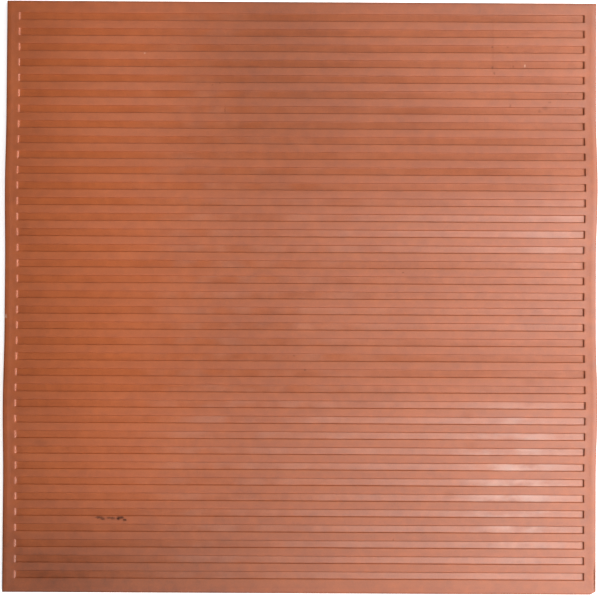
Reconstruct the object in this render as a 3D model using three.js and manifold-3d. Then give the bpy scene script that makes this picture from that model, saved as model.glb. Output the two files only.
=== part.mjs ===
// Ribbed rubber insulating mat: one moulded sheet with a row of closed grooves in its top face.
// It lies as a mat does that was folded for storage, with two low waves left across it.
// Millimetres, +Z up. The grooves run along X. The origin is on the floor, under the mat's middle.

import * as THREE from 'three';
import { mergeVertices } from 'three/addons/utils/BufferGeometryUtils.js';
import Module from 'manifold-3d';

// Sheet
const matLength = 500;
const matWidth = 500;
const matThickness = 6;
const edgeChamfer = 0.8;

// Grooves, counted from the +Y edge
const grooveWidth = 6.5;
const landWidth = 6.6;
const grooveDepth = 1.1;
const sideWallRun = 0.4;
const endWallRun = 0.55;
const endBorder = 10.2;
const firstBorder = 10;
const leastLastBorder = 10;

// Waves, one each side of the middle
const waveHeight = 5;
const waveSpan = 131;
const waveSpacing = 183.4;

// Corner at +X -Y, trimmed off
const trimAlongX = 4.8;
const trimAlongY = 2.6;

// How far a cutting tool stands clear of the face it cuts
const toolClearance = 1;

const rubberColour = 0xb4674a;

const groovePitch = grooveWidth + landWidth;
const grooveCount = Math.floor((matWidth - firstBorder - leastLastBorder + landWidth) / groovePitch);
const grooveLength = matLength - 2 * endBorder;

const wasm = await Module();
wasm.setup();

// Turns an extrusion drawn in a section's own plane so that it runs along X, its section in Y and Z.
const sectionToAlongX = new THREE.Matrix4().makeBasis(
  new THREE.Vector3(0, 1, 0),
  new THREE.Vector3(0, 0, 1),
  new THREE.Vector3(1, 0, 0),
);

function grooveCentre(index) {
  return matWidth / 2 - firstBorder - grooveWidth / 2 - index * groovePitch;
}

// Height of the underside above the floor: a rounded hump over each wave's span, flat elsewhere.
function waveRise(y) {
  const fromCrest = Math.abs(Math.abs(y) - waveSpacing / 2);
  if (fromCrest >= waveSpan / 2) {
    return 0;
  }
  return (waveHeight / 2) * (1 + Math.cos((2 * Math.PI * fromCrest) / waveSpan));
}

function waveSlope(y) {
  const rise = waveRise(y + groovePitch / 2) - waveRise(y - groovePitch / 2);
  return Math.atan2(rise, groovePitch);
}

// The sheet bends at its grooves, where it is thinnest, and only where a wave lifts it.
function bendLines() {
  const lines = [];
  for (let index = grooveCount - 1; index >= 0; index -= 1) {
    const y = grooveCentre(index);
    if (waveRise(y - groovePitch) > 0 || waveRise(y + groovePitch) > 0) {
      lines.push(y);
    }
  }
  return lines;
}

// Cross section of the plain sheet, from the -Y edge along the underside and back over the top.
function sheetSection() {
  const edge = matWidth / 2;
  const edgeRise = waveRise(edge);
  const low = edgeRise + edgeChamfer;
  const high = edgeRise + matThickness - edgeChamfer;
  const bends = bendLines();
  const section = new THREE.Shape();
  section.moveTo(-edge, low);
  section.lineTo(-edge + edgeChamfer, edgeRise);
  for (const y of bends) {
    section.lineTo(y, waveRise(y));
  }
  section.lineTo(edge - edgeChamfer, edgeRise);
  section.lineTo(edge, low);
  section.lineTo(edge, high);
  section.lineTo(edge - edgeChamfer, edgeRise + matThickness);
  for (const y of bends.reverse()) {
    section.lineTo(y, waveRise(y) + matThickness);
  }
  section.lineTo(-edge + edgeChamfer, edgeRise + matThickness);
  section.lineTo(-edge, high);
  section.closePath();
  return section;
}

function sheetGeometry() {
  const geometry = new THREE.ExtrudeGeometry(sheetSection(), {
    depth: matLength - 2 * edgeChamfer,
    bevelThickness: edgeChamfer,
    bevelSize: edgeChamfer,
    bevelOffset: -edgeChamfer,
    bevelSegments: 1,
  });
  geometry.translate(0, 0, -matLength / 2 + edgeChamfer);
  return geometry.applyMatrix4(sectionToAlongX);
}

// A trough with sloping walls: open upwards, its rim at height 0 and its floor one groove depth down.
function troughProfile(openLength, wallRun) {
  const half = openLength / 2;
  const profile = new THREE.Shape();
  profile.moveTo(-half + wallRun, -grooveDepth);
  profile.lineTo(half - wallRun, -grooveDepth);
  profile.lineTo(half, 0);
  profile.lineTo(half, toolClearance);
  profile.lineTo(-half, toolClearance);
  profile.lineTo(-half, 0);
  profile.closePath();
  return profile;
}

function extrudeCentred(profile, depth) {
  const geometry = new THREE.ExtrudeGeometry(profile, { depth, bevelEnabled: false });
  return geometry.translate(0, 0, -depth / 2);
}

// One groove's tool: what its long profile and its cross profile have in common.
function grooveTool() {
  const lengthways = extrudeCentred(troughProfile(grooveLength, endWallRun), grooveWidth + 2 * toolClearance);
  lengthways.rotateX(Math.PI / 2);
  const crossways = extrudeCentred(troughProfile(grooveWidth, sideWallRun), grooveLength + 2 * toolClearance);
  crossways.applyMatrix4(sectionToAlongX);
  return toGeometry(toSolid(lengthways).intersect(toSolid(crossways)));
}

// A right-angled wedge whose long side is the line that the corner is trimmed along.
function cornerTool() {
  const cornerX = matLength / 2;
  const cornerY = -matWidth / 2;
  const wedge = new THREE.Shape();
  wedge.moveTo(cornerX - 2 * trimAlongX, cornerY - trimAlongY);
  wedge.lineTo(cornerX + trimAlongX, cornerY - trimAlongY);
  wedge.lineTo(cornerX + trimAlongX, cornerY + 2 * trimAlongY);
  wedge.closePath();
  const height = waveRise(cornerY) + matThickness + 2 * toolClearance;
  const geometry = new THREE.ExtrudeGeometry(wedge, { depth: height, bevelEnabled: false });
  return geometry.translate(0, 0, -toolClearance);
}

function toSolid(geometry) {
  const bare = geometry.clone();
  bare.deleteAttribute('normal');
  bare.deleteAttribute('uv');
  const merged = mergeVertices(bare);
  return new wasm.Manifold(new wasm.Mesh({
    numProp: 3,
    vertProperties: merged.attributes.position.array,
    triVerts: Uint32Array.from(merged.index.array),
  }));
}

function toGeometry(solid) {
  const { vertProperties, triVerts } = solid.getMesh();
  const geometry = new THREE.BufferGeometry();
  geometry.setAttribute('position', new THREE.BufferAttribute(vertProperties, 3));
  geometry.setIndex(new THREE.BufferAttribute(triVerts, 1));
  geometry.computeVertexNormals();
  return geometry;
}

function grooveSheet() {
  const tool = grooveTool();
  let sheet = toSolid(sheetGeometry());
  for (let index = 0; index < grooveCount; index += 1) {
    const y = grooveCentre(index);
    const cut = tool.clone().rotateX(waveSlope(y)).translate(0, y, waveRise(y) + matThickness);
    sheet = sheet.subtract(toSolid(cut));
  }
  return sheet.subtract(toSolid(cornerTool()));
}

const rubber = new THREE.MeshStandardMaterial({ color: rubberColour, roughness: 0.5, metalness: 0 });
const rubberMat = new THREE.Mesh(toGeometry(grooveSheet()), rubber);
rubberMat.name = 'rubber_mat';

const mat = new THREE.Group();
mat.add(rubberMat);

export default mat;
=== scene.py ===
"""Looks of the ribbed rubber insulating mat: its moulded sheet, its rubber and the studio around it."""

import math

import bmesh
import bpy
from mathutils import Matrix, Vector, noise


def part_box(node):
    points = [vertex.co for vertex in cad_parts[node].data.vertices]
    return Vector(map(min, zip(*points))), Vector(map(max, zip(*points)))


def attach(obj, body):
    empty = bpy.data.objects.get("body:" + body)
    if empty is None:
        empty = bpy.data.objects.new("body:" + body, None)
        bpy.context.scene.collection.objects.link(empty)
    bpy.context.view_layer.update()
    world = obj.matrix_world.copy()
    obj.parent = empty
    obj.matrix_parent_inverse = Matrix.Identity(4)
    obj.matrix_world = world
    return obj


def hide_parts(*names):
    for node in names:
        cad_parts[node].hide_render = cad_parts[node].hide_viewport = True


MM = 0.001

# Sheet, as in the CAD model
SHEET_THICKNESS = 6 * MM
CORNER_TRIM = (4.8 * MM, 2.6 * MM)

# Waves: how high each crest stands at the left and right ends
WAVE_SPAN = 131 * MM
WAVE_SPACING = 183.4 * MM
BACK_WAVE = (3.0 * MM, 5.6 * MM)
FRONT_WAVE = (3.4 * MM, 5.2 * MM)

# Grooves, as in the CAD model
GROOVE_WIDTH = 6.5 * MM
LAND_WIDTH = 6.6 * MM
GROOVE_DEPTH = 1.1 * MM
GROOVE_PITCH = GROOVE_WIDTH + LAND_WIDTH
SIDE_WALL_RUN = 0.4 * MM
END_WALL_RUN = 0.55 * MM
END_BORDER = 10.2 * MM
FIRST_BORDER = 10 * MM
LEAST_LAST_BORDER = 10 * MM

# Moulded detail
RIM_ROUNDING = 0.22 * MM
FLOOR_FILLET = 0.3 * MM
EDGE_ROUNDING = 0.9 * MM
SMALL_ROUND_SEGMENTS = 3
EDGE_ROUND_SEGMENTS = 4
LAND_CROWN = 0.1 * MM
FLOOR_TILT = 0.024 * MM
SURFACE_RIPPLE = 0.05 * MM
BEAD_HEIGHT = 0.22 * MM
BEAD_INSET = 3.5 * MM
BEAD_REACH = 2.8 * MM

# Slow unevenness: how far apart its swells lie, and the layer of the noise that each kind is read from
RIPPLE_SPACING = (70 * MM, 45 * MM)
RIPPLE_LAYER = 3.7
TILT_SPACING = 90 * MM
TILT_GROOVE_STEP = 5.3
TILT_LAYER = 1.1
BEAD_SPACING = 80 * MM
BEAD_LAYER = 8.2
BEAD_STEADY_PART = 0.65
BEAD_UNEVEN_PART = 0.5

# Mesh spacing, and how faces and edges are told apart
COLUMN_STEP = 12.5 * MM
RIM_SUPPORT = 0.5 * MM
BORDER_STEPS = (2 * MM, 3.3 * MM, 4.7 * MM, 6.1 * MM, 8 * MM)
HAIR = 0.001 * MM
SHARP_ANGLE = math.radians(30)
FACING_UP = 0.5
FACING_DOWN = -0.7
X_AXIS = 0
Y_AXIS = 1
SIDE_SLOT = 1
UNDERSIDE_SLOT = 2

# Colours of the rubber, of what lies on it, and of its painted shade and sheen
LAND_COLOUR = (0.27, 0.052, 0.006)
FLOOR_COLOUR = (0.282, 0.0635, 0.018)
# Groove walls: a redder copy of the rubber's colour that stands in for their shaded look, painted shade
WALL_SHADE_COLOUR = (0.3, 0.056, 0.008)
WARMER = (1.0, 1.12, 1.0)
GRIME_COLOUR = (0.02, 0.008, 0.005)
GRIT_COLOUR = (0.75, 0.55, 0.45)
# Pale bloom colour, also used for the painted sheen
BLOOM_AND_SHEEN_COLOUR = (0.8, 0.68, 0.62)
TALC_COLOUR = (0.5, 0.36, 0.3)

# Finish of the top
SPECULAR_LEVEL = 1.0
LAND_ROUGHNESS = 0.56
FLOOR_ROUGHNESS = 0.353
# Share of the bloom and painted sheen that the lands get
LAND_BLOOM_AND_SHEEN = 0.05
TOP_RELIEF = 0.02 * MM

# How much of the sheen the groove walls and the sheet's outline lose, and how much darker the outline is:
# painted shade in the groove walls' lines and along the sheet's edge
WALL_DULLNESS = 0.08
OUTLINE_DULLNESS = 0.7
OUTLINE_PAINTED_SHADE = 0.5
OUTLINE_FALL = 1.5

# Finish of the cut sides and of the underside
SIDE_COARSENESS = 1.4
SIDE_BRIGHTNESS = 0.9
SIDE_ROUGHNESS = 0.6
SIDE_RELIEF = 0.04 * MM
UNDERSIDE_COARSENESS = 1.6
UNDERSIDE_ROUGHNESS = 0.62
UNDERSIDE_RELIEF = 0.03 * MM
PLAIN_GRAIN_IN_ROUGHNESS = 0.3

# Grain: repeats in a metre, and each kind's share in the light and dark tones
PORES_PER_METRE = 3200
SKIN_PER_METRE = 900
CLOUDS_PER_METRE = 130
DRIFT_PER_METRE = 24
PORES_IN_TONE = 0.2
SKIN_IN_TONE = 0.4
CLOUDS_IN_TONE = 0.5
DRIFT_IN_TONE = 0.2
MEAN_TONE = (PORES_IN_TONE + SKIN_IN_TONE + CLOUDS_IN_TONE + DRIFT_IN_TONE) / 2
GRAIN_IN_ROUGHNESS = 0.1

# Patterns that run along the mat: repeats in a metre along X, Y and Z, and their shares
STREAKS_PER_METRE = (14, 900, 14)
BANDS_PER_METRE = (9, 60, 9)
FILM_PER_METRE = (42, 75, 42)
KNIFE_LINES_PER_METRE = (900, 900, 60)
STREAKS_IN_TONE = 0.12
BANDS_IN_TONE = 0.1
BANDS_IN_ROUGHNESS = 0.12
KNIFE_LINES_IN_TONE = 0.16

# Cloudy film that carries the pale bloom and the painted sheen: the part of its noise that counts, and how
# thin and thick the film gets
FILM_NOISE = (0.36, 0.68)
FILM_THICKNESS = (0.15, 1.3)

# Talc on the underside: repeats in a metre, the noise above which it shows, and how much it then covers
TALC_PER_METRE = 18
TALC_THRESHOLD = 0.45
TALC_COVER = 0.35

# Painted light and shade: soft patches that make the rubber's colour lighter or darker where the studio
# light falls unevenly; middle X and Y, reach along X and Y (mm), and how much lighter or darker
PAINTED_LIGHT_AND_SHADE = (
    ("lit band", -150, 0, 70, 1000, 0.26),
    ("darker corner", -165, -244, 105, 57, -0.5),
    ("darker back", -18, 210, 70, 70, -0.12),
    ("darker stretch", 32, 158, 80, 22, -0.04),
    ("darker far corner", 190, 244, 70, 16, -0.12),
    ("lighter left side", -235, 130, 75, 150, 0.09),
    ("darker front", 60, -195, 220, 38, -0.05),
)

# Where the lands' skin is smoother: middle X and Y, reach along X and Y (mm), and the change of roughness
SMOOTH_SKIN = (
    ("left side", -245, 0, 110, 1000, -0.04),
)

# Pale bloom and painted sheen in the groove floors, the near right corner's patch being a painted highlight:
# middle X and Y, reach along X and Y (mm), and how thick
BLOOM_AND_SHEEN = (
    ("left of the middle", -88, 0, 42, 1000, 0.025),
    ("middle", 0, -40, 100, 190, 0.03),
    ("right edge", 220, 50, 40, 40, 0.04),
    ("near right corner", 183, -158, 38, 60, 0.15),
)

# Painted sheen on the lands, a whitish haze of the light: middle X and Y, reach along X and Y (mm), and how
# pale
PAINTED_SHEEN_ON_LANDS = (
    ("far left", -155, 165, 75, 105, 0.028),
)

# Dark marks: middle X and Y, reach along X and Y (mm), and how dark
DARK_MARKS = (
    ("scuff top", -168.5, -187.0, 3.6, 0.8, 0.6),
    ("scuff point", -165.6, -188.3, 1.8, 0.9, 0.6),
    ("scuff fleck", -160.5, -187.4, 2.2, 1.1, 0.55),
    ("scuff speck", -156.9, -187.6, 1.9, 1.0, 0.55),
    ("scuff spot", -152.4, -187.8, 1.6, 1.6, 0.85),
    ("scuff edge", -149.5, -187.0, 1.7, 0.9, 0.75),
    ("scuff end", -147.2, -188.9, 1.6, 1.0, 0.85),
    ("trimmed edge", 248.9, -236.0, 0.9, 11.0, 0.6),
    ("faint rub", -218.0, -124.5, 6.0, 3.0, 0.12),
    ("speck", 161.9, 212.7, 0.9, 0.7, 0.3),
    ("speck", 174.9, 212.6, 0.7, 0.7, 0.25),
    ("speck", 179.5, 196.0, 0.6, 1.0, 0.35),
    ("speck", 162.0, 195.1, 0.9, 1.2, 0.35),
    ("speck", 163.4, 190.0, 0.7, 1.4, 0.3),
    ("nick", 177.0, 162.8, 0.9, 1.4, 0.35),
    ("smear", 210.5, 165.6, 1.5, 0.8, 0.25),
    ("smear", 201.7, 158.3, 1.4, 1.6, 0.25),
    ("smear", 206.4, 160.9, 2.6, 1.6, 0.22),
    ("speck", 225.6, 172.9, 0.9, 0.8, 0.25),
    ("speck", -75.5, 179.1, 0.8, 0.8, 0.3),
    ("speck", -69.1, 180.7, 0.8, 0.8, 0.3),
    ("scratch", -64.7, 158.2, 0.5, 2.6, 0.35),
    ("speck", 79.0, -204.7, 0.8, 0.8, 0.4),
    ("speck", 86.6, 20.7, 0.8, 0.8, 0.35),
    ("speck", 4.2, -62.0, 0.8, 0.8, 0.35),
    ("speck", -5.2, -50.2, 0.8, 0.8, 0.3),
    ("trace", 162.2, 214.0, 1.2, 26.0, 0.1),
    ("stain", -233.7, 56.8, 4.0, 3.0, 0.12),
    ("stain", -224.7, 139.1, 4.0, 3.0, 0.1),
    ("stain", 140.5, -99.1, 5.0, 3.5, 0.12),
    ("stain", 143.6, -124.5, 6.0, 3.5, 0.1),
    ("stain", 193.0, -71.2, 6.0, 3.5, 0.1),
    ("stain", 126.0, -166.6, 5.0, 3.5, 0.12),
)

# Pale marks: middle X and Y, reach along X and Y (mm), and how pale
PALE_MARKS = (
    ("grit", 189.4, 196.8, 0.7, 0.9, 0.5),
    ("grit", -132.9, 205.8, 0.6, 0.6, 0.4),
    ("edge nick", -248.7, -17.7, 0.8, 1.6, 0.45),
)

# Edges of shades and marks: how firm they are, how much a mark covers at most, and how ragged it is
SOFT = 1.0
FIRM = 1.5
MOST_COVERED = 0.9
GRIME_IN_ROUGHNESS = 0.2
RAGGED_PER_METRE = 700.0
RAGGED_REACH = 2.2 * MM

# Studio floor and sky: how white and how matt the floor is, its own glow, and how bright the sky is
FLOOR_REACH = 40
FLOOR_WHITE = (0.9, 0.9, 0.9, 1)
FLOOR_MATTNESS = 0.9
FLOOR_GLOW = 0.7
WHITE = (1, 1, 1, 1)
BACKDROP = 0.75
SKY_AT_HORIZON = 0.9
SKY_OVERHEAD = 0.0
HORIZON_GLOW_REACH = 0.3

# Lights: place and size (m), and power (W)
LAMPS = (
    ("overhead_softbox", (0.55, -0.45, 1.8), (1.0, 0.75), 8.5),
    ("window", (1.2, 0.0, 1.0), (0.9, 0.9), 18.0),
    ("right_back_softbox", (1.1, 0.65, 0.9), (0.8, 0.8), 14.5),
    ("right_front_softbox", (1.1, -0.65, 0.9), (0.8, 0.8), 19.5),
    ("front_softbox", (0.1, -1.3, 1.3), (1.0, 1.0), 5.0),
    ("back_softbox", (0.0, 1.3, 1.3), (1.0, 1.0), 2.5),
)

# Camera: place (m), turn about X, Y and Z (degrees), and lens and sensor (mm)
CAMERA_PLACE = (-0.001, -0.01915, 1.0)
CAMERA_TURN = (0.935, -0.041, 0.293)
CAMERA_LENS = 70.59
CAMERA_SENSOR = 36
CAMERA_NEAREST = 0.01

# Sockets of a Mix node that blends colours
MIX_FIRST = 6
MIX_SECOND = 7
MIX_RESULT = 2


# Mesh

def fresh_object(name, sheet):
    mesh = bpy.data.meshes.new(name)
    sheet.to_mesh(mesh)
    sheet.free()
    piece = bpy.data.objects.new(name, mesh)
    bpy.context.scene.collection.objects.link(piece)
    return piece


def groove_centres(width):
    count = int((width - FIRST_BORDER - LEAST_LAST_BORDER + LAND_WIDTH) / GROOVE_PITCH)
    first = width / 2 - FIRST_BORDER - GROOVE_WIDTH / 2
    return [first - index * GROOVE_PITCH for index in range(count)]


def cut_through(sheet, axis, places):
    """Parts every face along planes square to one axis."""
    normal = Vector((0, 0, 0))
    normal[axis] = 1
    for place in places:
        everything = sheet.verts[:] + sheet.edges[:] + sheet.faces[:]
        bmesh.ops.bisect_plane(sheet, geom=everything, plane_co=normal * place, plane_no=normal)


def plain_sheet(length, width):
    sheet = bmesh.new()
    bmesh.ops.create_cube(sheet, size=1)
    bmesh.ops.scale(sheet, vec=(length, width, SHEET_THICKNESS), verts=sheet.verts)
    bmesh.ops.translate(sheet, vec=(0, 0, SHEET_THICKNESS / 2), verts=sheet.verts)
    return sheet


def cut_rows(sheet, centres, half_width):
    """Rows that the grooves, their crowned lands and the borders need."""
    floor_support = GROOVE_WIDTH / 2 - SIDE_WALL_RUN - FLOOR_FILLET - RIM_SUPPORT / 2
    land_support = LAND_WIDTH / 2 - RIM_SUPPORT
    rows = []
    for centre in centres:
        rows += [centre + GROOVE_WIDTH / 2, centre + floor_support, centre]
        rows += [centre - floor_support, centre - GROOVE_WIDTH / 2]
        if centre != centres[-1]:
            land = centre - GROOVE_PITCH / 2
            rows += [land + land_support, land + LAND_WIDTH / 4, land]
            rows += [land - LAND_WIDTH / 4, land - land_support]
    for inset in BORDER_STEPS:
        rows += [half_width - inset, inset - half_width]
    cut_through(sheet, Y_AXIS, rows)


def cut_columns(sheet, half_length, half_groove):
    """Columns that the groove ends, the borders and the gentle ripple need."""
    steps = int((half_groove - END_WALL_RUN) / COLUMN_STEP)
    columns = [-half_groove, half_groove]
    columns += [index * COLUMN_STEP for index in range(-steps, steps + 1)]
    for inset in BORDER_STEPS:
        columns += [half_length - inset, inset - half_length]
    cut_through(sheet, X_AXIS, columns)


def trim_corner(sheet, half_length, half_width):
    """Takes the +X -Y corner off along a slanting line and closes the cut."""
    along_x, along_y = CORNER_TRIM
    line_start = Vector((half_length - along_x, -half_width, 0))
    outwards = Vector((along_y, -along_x, 0))
    everything = sheet.verts[:] + sheet.edges[:] + sheet.faces[:]
    bmesh.ops.bisect_plane(
        sheet, geom=everything, plane_co=line_start, plane_no=outwards, clear_outer=True
    )
    open_edges = [edge for edge in sheet.edges if edge.is_boundary]
    bmesh.ops.holes_fill(sheet, edges=open_edges, sides=0)


def sink_grooves(sheet, centres, half_groove):
    """Sinks every groove's faces into the top, with steep long walls and gentler end walls."""
    def in_groove(face):
        middle = face.calc_center_median()
        across = min(abs(middle.y - centre) for centre in centres)
        return face.normal.z > FACING_UP and abs(middle.x) < half_groove and across < GROOVE_WIDTH / 2

    floors = [face for face in sheet.faces if in_groove(face)]
    bmesh.ops.inset_region(
        sheet, faces=floors, thickness=SIDE_WALL_RUN, depth=-GROOVE_DEPTH, use_even_offset=True
    )
    floor_end = half_groove - SIDE_WALL_RUN
    for vertex in {vertex for face in floors for vertex in face.verts}:
        if abs(vertex.co.x) > floor_end - HAIR:
            vertex.co.x = math.copysign(half_groove - END_WALL_RUN, vertex.co.x)


def is_outer_side(face):
    heights = [vertex.co.z for vertex in face.verts]
    return min(heights) < HAIR and max(heights) > SHEET_THICKNESS - HAIR


def round_edges(sheet, edges, offset, segments):
    bmesh.ops.bevel(
        sheet, geom=edges, offset=offset, offset_type="OFFSET", segments=segments,
        affect="EDGES", profile=0.5, material=-1, clamp_overlap=True,
    )


def sharp_edges(sheet, level):
    """Sharp edges that lie at one height."""
    sheet.normal_update()
    return [
        edge for edge in sheet.edges
        if all(abs(vertex.co.z - level) < HAIR for vertex in edge.verts)
        and edge.calc_face_angle(0) > SHARP_ANGLE
    ]


def round_everything(sheet):
    """Fillets the groove floors, then rounds the rims and the sheet's own outline."""
    fillets = sharp_edges(sheet, SHEET_THICKNESS - GROOVE_DEPTH)
    round_edges(sheet, fillets, FLOOR_FILLET, SMALL_ROUND_SEGMENTS)
    rims = [
        edge for edge in sharp_edges(sheet, SHEET_THICKNESS)
        if not any(is_outer_side(face) for face in edge.link_faces)
    ]
    round_edges(sheet, rims, RIM_ROUNDING, SMALL_ROUND_SEGMENTS)
    outline = [
        edge for edge in sharp_edges(sheet, SHEET_THICKNESS) + sharp_edges(sheet, 0)
        if any(is_outer_side(face) for face in edge.link_faces)
    ]
    round_edges(sheet, outline, EDGE_ROUNDING, EDGE_ROUND_SEGMENTS)


def mark_groove_floors(sheet, centres, half_groove):
    """Keeps how deep each point lies in a groove, from 0 on a land to 1 on a floor."""
    depth = sheet.verts.layers.float.new("groove_floor")
    for vertex in sheet.verts:
        across = min(abs(vertex.co.y - centre) for centre in centres)
        inside = abs(vertex.co.x) < half_groove + HAIR and across < GROOVE_WIDTH / 2 + HAIR
        if inside and vertex.co.z > SHEET_THICKNESS - GROOVE_DEPTH - HAIR:
            vertex[depth] = (SHEET_THICKNESS - vertex.co.z) / GROOVE_DEPTH


def mark_outline(sheet, half_length, half_width):
    """Keeps how near each point lies to the sheet's outline, from 0 inside the rounding to 1 at the edge."""
    outline = sheet.verts.layers.float.new("outline")
    for vertex in sheet.verts:
        from_edge = min(half_length - abs(vertex.co.x), half_width - abs(vertex.co.y))
        vertex[outline] = max(0.0, 1 - from_edge / EDGE_ROUNDING)


def mark_sides(sheet):
    """Gives the outer sides and the underside materials of their own."""
    sheet.normal_update()
    for face in sheet.faces:
        middle = face.calc_center_median()
        if face.normal.z < FACING_DOWN:
            face.material_index = UNDERSIDE_SLOT
        elif middle.z < SHEET_THICKNESS - GROOVE_DEPTH - HAIR:
            face.material_index = SIDE_SLOT


def wave_rise(x, y, length):
    """Height of the sheet's underside above the floor."""
    from_crest = abs(abs(y) - WAVE_SPACING / 2)
    if from_crest >= WAVE_SPAN / 2:
        return 0
    left, right = BACK_WAVE if y > 0 else FRONT_WAVE
    height = left + (right - left) * (x / length + 0.5)
    return height / 2 * (1 + math.cos(2 * math.pi * from_crest / WAVE_SPAN))


def bead_rise(from_edge):
    """The low bead that the mould leaves round the border."""
    place = abs(from_edge - BEAD_INSET) / BEAD_REACH
    return BEAD_HEIGHT * (1 + math.cos(math.pi * place)) / 2 if place < 1 else 0


def surface_rise(x, y, depth, centres, half_length, half_width):
    """Small unevenness of the top: crowned lands, tilted floors, the border's bead and a slow ripple."""
    ripple = noise.noise(Vector((x / RIPPLE_SPACING[0], y / RIPPLE_SPACING[1], RIPPLE_LAYER)))
    ripple *= SURFACE_RIPPLE
    index = min(range(len(centres)), key=lambda number: abs(y - centres[number]))
    if depth > 0.5:
        across = (y - centres[index]) / (GROOVE_WIDTH / 2)
        tilt = noise.noise(Vector((x / TILT_SPACING, index * TILT_GROOVE_STEP, TILT_LAYER)))
        return ripple + FLOOR_TILT * tilt * across
    if abs(x) >= half_length - END_BORDER or y > centres[0] or y < centres[-1]:
        from_edge = min(half_length - abs(x), half_width - abs(y))
        swell = noise.noise(Vector((x / BEAD_SPACING, y / BEAD_SPACING, BEAD_LAYER)))
        return ripple + bead_rise(from_edge) * (BEAD_STEADY_PART + BEAD_UNEVEN_PART * swell)
    from_land = (GROOVE_PITCH / 2 - abs(y - centres[index])) / (LAND_WIDTH / 2)
    return ripple + LAND_CROWN * max(0, 1 - from_land ** 2)


def lay_down(sheet, centres, length, width):
    """Gives the top its unevenness and lays the sheet in its two waves."""
    depth = sheet.verts.layers.float["groove_floor"]
    for vertex in sheet.verts:
        x, y = vertex.co.x, vertex.co.y
        rise = wave_rise(x, y, length)
        if vertex.co.z > SHEET_THICKNESS - GROOVE_DEPTH - HAIR:
            rise += surface_rise(x, y, vertex[depth], centres, length / 2, width / 2)
        vertex.co.z += rise


def moulded_mat(low, high):
    length = high.x - low.x
    width = high.y - low.y
    half_groove = length / 2 - END_BORDER
    centres = groove_centres(width)
    sheet = plain_sheet(length, width)
    cut_rows(sheet, centres, width / 2)
    cut_columns(sheet, length / 2, half_groove)
    trim_corner(sheet, length / 2, width / 2)
    sheet.normal_update()
    sink_grooves(sheet, centres, half_groove)
    round_everything(sheet)
    mark_groove_floors(sheet, centres, half_groove)
    mark_outline(sheet, length / 2, width / 2)
    mark_sides(sheet)
    lay_down(sheet, centres, length, width)
    for face in sheet.faces:
        face.smooth = True
    return fresh_object("moulded_mat", sheet)


# Shader helpers

def add_node(tree, kind, inputs=None, **settings):
    """Adds a node, sets its options, and sets or links its inputs."""
    made = tree.nodes.new(kind)
    for option, value in settings.items():
        setattr(made, option, value)
    for socket, value in (inputs or {}).items():
        if isinstance(value, bpy.types.NodeSocket):
            tree.links.new(value, made.inputs[socket])
        else:
            made.inputs[socket].default_value = value
    return made


def calc(tree, operation, first, second=0.0, third=0.0):
    return add_node(tree, "ShaderNodeMath", {0: first, 1: second, 2: third}, operation=operation).outputs[0]


def average(tree, first, second):
    return calc(tree, "MULTIPLY_ADD", first, 0.5, calc(tree, "MULTIPLY", second, 0.5))


def vector_calc(tree, operation, first, second):
    return add_node(tree, "ShaderNodeVectorMath", {0: first, 1: second}, operation=operation).outputs[0]


def length_squared(tree, vector):
    made = add_node(tree, "ShaderNodeVectorMath", {0: vector, 1: vector}, operation="DOT_PRODUCT")
    return made.outputs["Value"]


def scaled(tree, vector, factor):
    made = add_node(tree, "ShaderNodeVectorMath", {0: vector, "Scale": factor}, operation="SCALE")
    return made.outputs[0]


def cloud(tree, place, scale, detail):
    """Noise from 0 to 1, with scale as repeats in a metre."""
    made = add_node(tree, "ShaderNodeTexNoise", {"Vector": place, "Scale": scale, "Detail": detail})
    return made.outputs["Fac"]


def stretched_cloud(tree, place, per_metre, detail):
    """Noise from 0 to 1 that repeats at its own rate along each axis."""
    return cloud(tree, vector_calc(tree, "MULTIPLY", place, per_metre), 1, detail)


def blend_colours(tree, factor, first, second):
    made = add_node(tree, "ShaderNodeMix", {"Factor": factor}, data_type="RGBA")
    for socket, value in ((made.inputs[MIX_FIRST], first), (made.inputs[MIX_SECOND], second)):
        if isinstance(value, bpy.types.NodeSocket):
            tree.links.new(value, socket)
        else:
            socket.default_value = (*value, 1)
    return made.outputs[MIX_RESULT]


def smooth_range(tree, value, from_range, to_range):
    made = add_node(tree, "ShaderNodeMapRange", {
        "Value": value, "From Min": from_range[0], "From Max": from_range[1],
        "To Min": to_range[0], "To Max": to_range[1],
    }, interpolation_type="SMOOTHSTEP")
    return made.outputs["Result"]


def start_group(name, inputs, outputs):
    group = bpy.data.node_groups.new(name, "ShaderNodeTree")
    for label, kind, value in inputs:
        socket = group.interface.new_socket(label, in_out="INPUT", socket_type=kind)
        socket.default_value = value
    for label, kind in outputs:
        group.interface.new_socket(label, in_out="OUTPUT", socket_type=kind)
    entry = group.nodes.new("NodeGroupInput").outputs
    leave = group.nodes.new("NodeGroupOutput").inputs
    return group, entry, leave


def use_group(tree, group, inputs, label=""):
    return add_node(tree, "ShaderNodeGroup", inputs, node_tree=group, label=label).outputs


# Effects that the rubber's materials share

def soft_patch_group():
    """A patch that fades out from its middle: a higher Crispness gives it a firmer edge."""
    group, entry, leave = start_group(
        "soft_patch",
        (
            ("Place", "NodeSocketVector", (0, 0, 0)),
            ("Middle", "NodeSocketVector", (0, 0, 0)),
            ("Reach", "NodeSocketVector", (1, 1, 1)),
            ("Crispness", "NodeSocketFloat", 1),
            ("Strength", "NodeSocketFloat", 1),
        ),
        (("Mask", "NodeSocketFloat"),),
    )
    away = vector_calc(group, "SUBTRACT", entry["Place"], entry["Middle"])
    away = vector_calc(group, "DIVIDE", away, entry["Reach"])
    fall = calc(group, "POWER", length_squared(group, away), entry["Crispness"])
    mask = calc(group, "EXPONENT", calc(group, "MULTIPLY", fall, -1.0))
    group.links.new(calc(group, "MULTIPLY", mask, entry["Strength"]), leave["Mask"])
    return group


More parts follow.
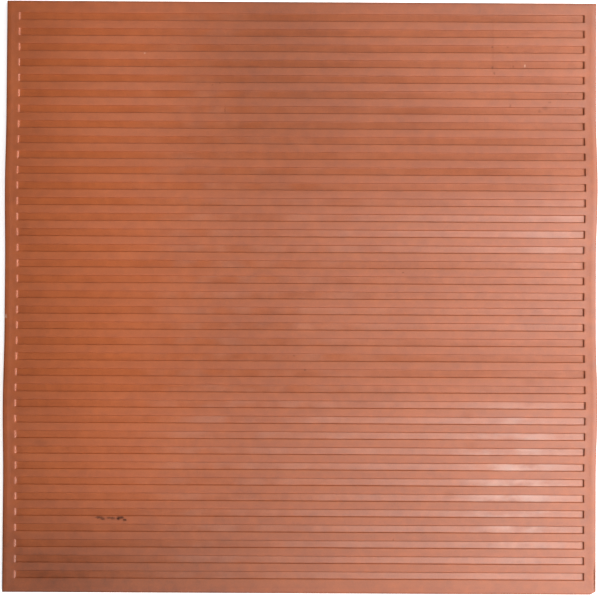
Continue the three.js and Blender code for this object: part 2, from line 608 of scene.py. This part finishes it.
def rubber_grain_group():
    """Fine pores, mould texture and cloudiness of the rubber."""
    group, entry, leave = start_group(
        "rubber_grain",
        (("Place", "NodeSocketVector", (0, 0, 0)), ("Coarseness", "NodeSocketFloat", 1)),
        (("Height", "NodeSocketFloat"), ("Tone", "NodeSocketFloat"), ("Tint", "NodeSocketFloat")),
    )
    place = scaled(group, entry["Place"], calc(group, "DIVIDE", 1.0, entry["Coarseness"]))
    pores = cloud(group, place, PORES_PER_METRE, detail=1)
    skin = cloud(group, place, SKIN_PER_METRE, detail=2)
    clouds = cloud(group, place, CLOUDS_PER_METRE, detail=3)
    drift = cloud(group, place, DRIFT_PER_METRE, detail=2)
    group.links.new(average(group, pores, skin), leave["Height"])
    tone = calc(group, "MULTIPLY_ADD", pores, PORES_IN_TONE, calc(group, "MULTIPLY", skin, SKIN_IN_TONE))
    tone = calc(group, "MULTIPLY_ADD", clouds, CLOUDS_IN_TONE, tone)
    tone = calc(group, "MULTIPLY_ADD", drift, DRIFT_IN_TONE, tone)
    group.links.new(calc(group, "ADD", tone, -MEAN_TONE), leave["Tone"])
    group.links.new(average(group, drift, clouds), leave["Tint"])
    return group


def mould_streak_group():
    """Streaks and bands along the grooves, as the cutter left them in the mould, and a cloudy film that
    carries the bloom and the painted sheen.
    """
    group, entry, leave = start_group(
        "mould_streaks",
        (("Place", "NodeSocketVector", (0, 0, 0)),),
        (("Streaks", "NodeSocketFloat"), ("Bands", "NodeSocketFloat"), ("Film", "NodeSocketFloat")),
    )
    fine = stretched_cloud(group, entry["Place"], STREAKS_PER_METRE, detail=2)
    bands = stretched_cloud(group, entry["Place"], BANDS_PER_METRE, detail=2)
    group.links.new(calc(group, "SUBTRACT", fine, 0.5), leave["Streaks"])
    group.links.new(calc(group, "SUBTRACT", bands, 0.5), leave["Bands"])
    film = stretched_cloud(group, entry["Place"], FILM_PER_METRE, detail=3)
    group.links.new(smooth_range(group, film, FILM_NOISE, FILM_THICKNESS), leave["Film"])
    return group


# Materials

def start_material(name):
    material = bpy.data.materials.new(name)
    material.use_nodes = True
    tree = material.node_tree
    shader = tree.nodes["Principled BSDF"]
    shader.inputs["Specular IOR Level"].default_value = SPECULAR_LEVEL
    place = add_node(tree, "ShaderNodeTexCoord").outputs["Object"]
    return material, tree, shader, place


def stored_value(tree, name):
    """A value that the mesh keeps at each of its points."""
    return add_node(tree, "ShaderNodeAttribute", attribute_name=name).outputs["Fac"]


def bumped(tree, shader, height, distance):
    bump = add_node(tree, "ShaderNodeBump", {"Height": height, "Strength": 1.0, "Distance": distance})
    tree.links.new(bump.outputs["Normal"], shader.inputs["Normal"])


def summed_patches(tree, patch, place, patches, crispness):
    total = 0.0
    for label, x, y, reach_x, reach_y, strength in patches:
        made = use_group(tree, patch, {
            "Place": place, "Middle": (x * MM, y * MM, 0), "Reach": (reach_x * MM, reach_y * MM, 1),
            "Crispness": crispness, "Strength": strength,
        }, label)
        total = calc(tree, "ADD", total, made["Mask"])
    return total


def marks_cover(tree, patch, place, marks):
    """How much a set of marks covers each point, which is never quite the whole of it."""
    return calc(tree, "MINIMUM", summed_patches(tree, patch, place, marks, FIRM), MOST_COVERED)


def ragged_place(tree, place):
    """Place on the sheet with a small random shift, which gives the marks their ragged edges."""
    shift = add_node(tree, "ShaderNodeTexNoise", {"Vector": place, "Scale": RAGGED_PER_METRE, "Detail": 2.0})
    shift = vector_calc(tree, "SUBTRACT", shift.outputs["Color"], (0.5, 0.5, 0.5))
    shift = vector_calc(tree, "MULTIPLY", shift, (RAGGED_REACH, RAGGED_REACH, 0))
    flat_place = vector_calc(tree, "MULTIPLY", place, (1, 1, 0))
    return vector_calc(tree, "ADD", flat_place, shift)


def rubber_tone(tree, patch, place, floor, outline, skin, lines):
    """How light or dark the top is, around 1: its grain and streaks, with the painted light and shade
    patches and the painted shade along the outline.
    """
    tone = calc(tree, "ADD", skin["Tone"], 1.0)
    # Painted light and shade: soft patches that lighten or darken the colour
    tone = calc(tree, "ADD", tone, summed_patches(tree, patch, place, PAINTED_LIGHT_AND_SHADE, SOFT))
    tone = calc(tree, "MULTIPLY_ADD", calc(tree, "MULTIPLY", lines["Streaks"], floor), STREAKS_IN_TONE, tone)
    tone = calc(tree, "MULTIPLY_ADD", lines["Bands"], BANDS_IN_TONE, tone)
    # Painted shade along the sheet's outline
    return calc(tree, "MULTIPLY_ADD", outline, -OUTLINE_PAINTED_SHADE, tone)


def bloom_and_sheen_cover(tree, patch, place, floor, land, film):
    """How much pale bloom and painted sheen cover the groove floors, and painted sheen the lands."""
    # Pale bloom and painted sheen on the floors; the near right corner's patch is a painted highlight
    bloom = calc(tree, "MULTIPLY", summed_patches(tree, patch, place, BLOOM_AND_SHEEN, SOFT), film)
    bloom = calc(tree, "MULTIPLY", bloom, calc(tree, "MAXIMUM", floor, LAND_BLOOM_AND_SHEEN))
    # Painted sheen on the lands
    sheen_on_land = calc(tree, "MULTIPLY", summed_patches(tree, patch, place, PAINTED_SHEEN_ON_LANDS, SOFT), land)
    return calc(tree, "ADD", bloom, sheen_on_land)


def top_roughness(tree, patch, place, floor, land, dark, skin, lines):
    roughness = calc(tree, "MULTIPLY_ADD", floor, FLOOR_ROUGHNESS - LAND_ROUGHNESS, LAND_ROUGHNESS)
    roughness = calc(tree, "MULTIPLY_ADD", lines["Bands"], BANDS_IN_ROUGHNESS, roughness)
    roughness = calc(tree, "MULTIPLY_ADD", skin["Tone"], GRAIN_IN_ROUGHNESS, roughness)
    smoother = summed_patches(tree, patch, place, SMOOTH_SKIN, SOFT)
    roughness = calc(tree, "MULTIPLY_ADD", smoother, land, roughness)
    return calc(tree, "MULTIPLY_ADD", dark, GRIME_IN_ROUGHNESS, roughness)


def moulded_rubber(patch, grain, streaks):
    """The top: rough lands, smoother groove floors, painted light and shade, pale bloom with painted sheen,
    streaks and the marks of use.
    """
    material, tree, shader, place = start_material("moulded_rubber")
    skin = use_group(tree, grain, {"Place": place, "Coarseness": 1.0})
    lines = use_group(tree, streaks, {"Place": place})
    floor = stored_value(tree, "groove_floor")
    land = calc(tree, "SUBTRACT", 1.0, floor)
    # The product of floor and land peaks at a quarter, halfway down a groove's wall
    wall = calc(tree, "MULTIPLY", land, calc(tree, "MULTIPLY", floor, 4.0))
    # This outline mask also carries the painted shade along the sheet's edge
    outline = calc(tree, "POWER", stored_value(tree, "outline"), OUTLINE_FALL)

    colour = blend_colours(tree, floor, LAND_COLOUR, FLOOR_COLOUR)
    # Painted shade tint on the groove walls
    colour = blend_colours(tree, wall, colour, WALL_SHADE_COLOUR)
    colour = blend_colours(tree, skin["Tint"], colour, vector_calc(tree, "MULTIPLY", colour, WARMER))
    colour = scaled(tree, colour, rubber_tone(tree, patch, place, floor, outline, skin, lines))
    # Pale bloom and painted sheen blended into the colour
    bloom = bloom_and_sheen_cover(tree, patch, place, floor, land, lines["Film"])
    colour = blend_colours(tree, bloom, colour, BLOOM_AND_SHEEN_COLOUR)

    ragged = ragged_place(tree, place)
    dark = marks_cover(tree, patch, ragged, DARK_MARKS)
    colour = blend_colours(tree, dark, colour, GRIME_COLOUR)
    pale = marks_cover(tree, patch, ragged, PALE_MARKS)
    colour = blend_colours(tree, pale, colour, GRIT_COLOUR)
    tree.links.new(colour, shader.inputs["Base Color"])

    # Metallic only takes the white sheen off: what is dark and metallic looks dull here
    dull = calc(tree, "MULTIPLY_ADD", wall, WALL_DULLNESS, dark)
    dull = calc(tree, "MULTIPLY_ADD", outline, OUTLINE_DULLNESS, dull)
    tree.links.new(calc(tree, "MINIMUM", dull, 1.0), shader.inputs["Metallic"])

    roughness = top_roughness(tree, patch, place, floor, land, dark, skin, lines)
    tree.links.new(roughness, shader.inputs["Roughness"])
    bumped(tree, shader, skin["Height"], TOP_RELIEF)
    return material


def cut_side_rubber(grain):
    """The outer sides: coarser, with the fine upright lines of a knife cut."""
    material, tree, shader, place = start_material("cut_side_rubber")
    skin = use_group(tree, grain, {"Place": place, "Coarseness": SIDE_COARSENESS})
    upright = stretched_cloud(tree, place, KNIFE_LINES_PER_METRE, detail=2)
    tone = calc(tree, "ADD", skin["Tone"], SIDE_BRIGHTNESS)
    tone = calc(tree, "MULTIPLY_ADD", upright, KNIFE_LINES_IN_TONE, tone)
    tree.links.new(scaled(tree, LAND_COLOUR, tone), shader.inputs["Base Color"])
    roughness = calc(tree, "MULTIPLY_ADD", skin["Tone"], PLAIN_GRAIN_IN_ROUGHNESS, SIDE_ROUGHNESS)
    tree.links.new(roughness, shader.inputs["Roughness"])
    bumped(tree, shader, calc(tree, "ADD", upright, skin["Height"]), SIDE_RELIEF)
    return material


def underside_rubber(grain):
    """The underside: a plain matt face with a cloudy trace of talc."""
    material, tree, shader, place = start_material("underside_rubber")
    skin = use_group(tree, grain, {"Place": place, "Coarseness": UNDERSIDE_COARSENESS})
    talc = calc(tree, "SUBTRACT", cloud(tree, place, TALC_PER_METRE, detail=4), TALC_THRESHOLD)
    talc = calc(tree, "MAXIMUM", calc(tree, "MULTIPLY", talc, TALC_COVER), 0.0)
    colour = scaled(tree, LAND_COLOUR, calc(tree, "ADD", skin["Tone"], 1.0))
    colour = blend_colours(tree, talc, colour, TALC_COLOUR)
    tree.links.new(colour, shader.inputs["Base Color"])
    roughness = calc(tree, "MULTIPLY_ADD", skin["Tone"], PLAIN_GRAIN_IN_ROUGHNESS, UNDERSIDE_ROUGHNESS)
    tree.links.new(roughness, shader.inputs["Roughness"])
    bumped(tree, shader, skin["Height"], UNDERSIDE_RELIEF)
    return material


# Studio

def studio_floor():
    sheet = bmesh.new()
    bmesh.ops.create_grid(sheet, x_segments=1, y_segments=1, size=FLOOR_REACH)
    piece = fresh_object("studio_floor", sheet)
    material = bpy.data.materials.new("pale_floor")
    material.use_nodes = True
    shader = material.node_tree.nodes["Principled BSDF"]
    shader.inputs["Base Color"].default_value = FLOOR_WHITE
    shader.inputs["Roughness"].default_value = FLOOR_MATTNESS
    shader.inputs["Emission Color"].default_value = WHITE
    shader.inputs["Emission Strength"].default_value = FLOOR_GLOW
    piece.data.materials.append(material)


def soft_light(name, place, size, power):
    """A rectangular light that faces the middle of the mat."""
    light = bpy.data.lights.new(name, "AREA")
    light.shape = "RECTANGLE"
    light.size, light.size_y = size
    light.energy = power
    lamp = bpy.data.objects.new(name, light)
    lamp.location = place
    lamp.rotation_euler = (-Vector(place)).to_track_quat("-Z", "Y").to_euler()
    lamp.visible_camera = False
    bpy.context.scene.collection.objects.link(lamp)


def studio_world():
    """A sky that is brighter towards the horizon, which the camera itself sees as a plain pale backdrop."""
    world = bpy.data.worlds.new("studio")
    world.use_nodes = True
    tree = world.node_tree
    direction = add_node(tree, "ShaderNodeTexCoord").outputs["Generated"]
    height = add_node(tree, "ShaderNodeSeparateXYZ", {0: direction}).outputs["Z"]
    strength = smooth_range(tree, height, (0.0, HORIZON_GLOW_REACH), (SKY_AT_HORIZON, SKY_OVERHEAD))
    seen = add_node(tree, "ShaderNodeLightPath").outputs["Is Camera Ray"]
    backdrop = calc(tree, "MULTIPLY", seen, BACKDROP)
    strength = calc(tree, "MULTIPLY_ADD", calc(tree, "SUBTRACT", 1.0, seen), strength, backdrop)
    background = tree.nodes["Background"]
    background.inputs["Color"].default_value = WHITE
    tree.links.new(strength, background.inputs["Strength"])
    bpy.context.scene.world = world


def camera():
    data = bpy.data.cameras.new("camera")
    data.sensor_width = CAMERA_SENSOR
    data.lens = CAMERA_LENS
    data.clip_start = CAMERA_NEAREST
    eye = bpy.data.objects.new("camera", data)
    eye.location = CAMERA_PLACE
    eye.rotation_euler = [math.radians(turn) for turn in CAMERA_TURN]
    bpy.context.scene.collection.objects.link(eye)
    bpy.context.scene.camera = eye


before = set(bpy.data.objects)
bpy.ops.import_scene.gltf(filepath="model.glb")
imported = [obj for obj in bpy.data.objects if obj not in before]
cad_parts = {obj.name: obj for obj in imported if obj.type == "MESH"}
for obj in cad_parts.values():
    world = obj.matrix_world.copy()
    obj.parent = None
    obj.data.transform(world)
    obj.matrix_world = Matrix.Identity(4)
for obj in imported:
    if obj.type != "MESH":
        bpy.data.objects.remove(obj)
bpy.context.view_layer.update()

soft_patch = soft_patch_group()
rubber_grain = rubber_grain_group()
mould_streaks = mould_streak_group()

mat = moulded_mat(*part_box("rubber_mat"))
mat.data.materials.append(moulded_rubber(soft_patch, rubber_grain, mould_streaks))
mat.data.materials.append(cut_side_rubber(rubber_grain))
mat.data.materials.append(underside_rubber(rubber_grain))
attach(mat, "root")
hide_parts("rubber_mat")

studio_floor()
for lamp in LAMPS:
    soft_light(*lamp)
studio_world()
camera()

bpy.context.scene.view_settings.view_transform = "Standard"
